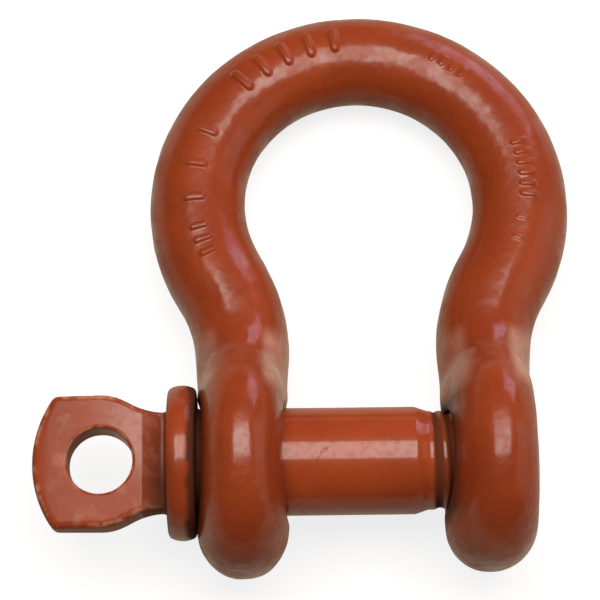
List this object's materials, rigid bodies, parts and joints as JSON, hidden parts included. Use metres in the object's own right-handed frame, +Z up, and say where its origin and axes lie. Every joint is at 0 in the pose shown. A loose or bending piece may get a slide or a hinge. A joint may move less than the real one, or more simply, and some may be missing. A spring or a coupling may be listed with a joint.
{
  "type": "screw pin bow shackle",
  "caption": "Forged bow shackle whose round bow ends in two ears, closed by a threaded pin with a collar and a flat eye for turning it.",
  "frame": {"origin": "under the middle of the shackle's outline seen from above, on the surface it lies on", "axes": "+X along the pin from its eye towards the tapped ear, +Y from the pin towards the crown of the bow, +Z up; the shackle lies on both ears and its crown"},
  "size_m": [0.1136, 0.1248, 0.048],
  "materials": {
    "bow_paint": "glossy orange-red paint over forged steel, slightly uneven",
    "pin_paint": "glossy orange-red paint over forged and turned steel"
  },
  "bodies": {
    "bow": {"bow": "bow_paint"},
    "screw_pin": {"screw_pin": "pin_paint"}
  },
  "joints": [
    {"name": "pin_withdraw", "type": "slide", "parent": "bow", "child": "screw_pin", "axis": [-1, 0, 0], "range_m": [0, 0.11]}
  ]
}
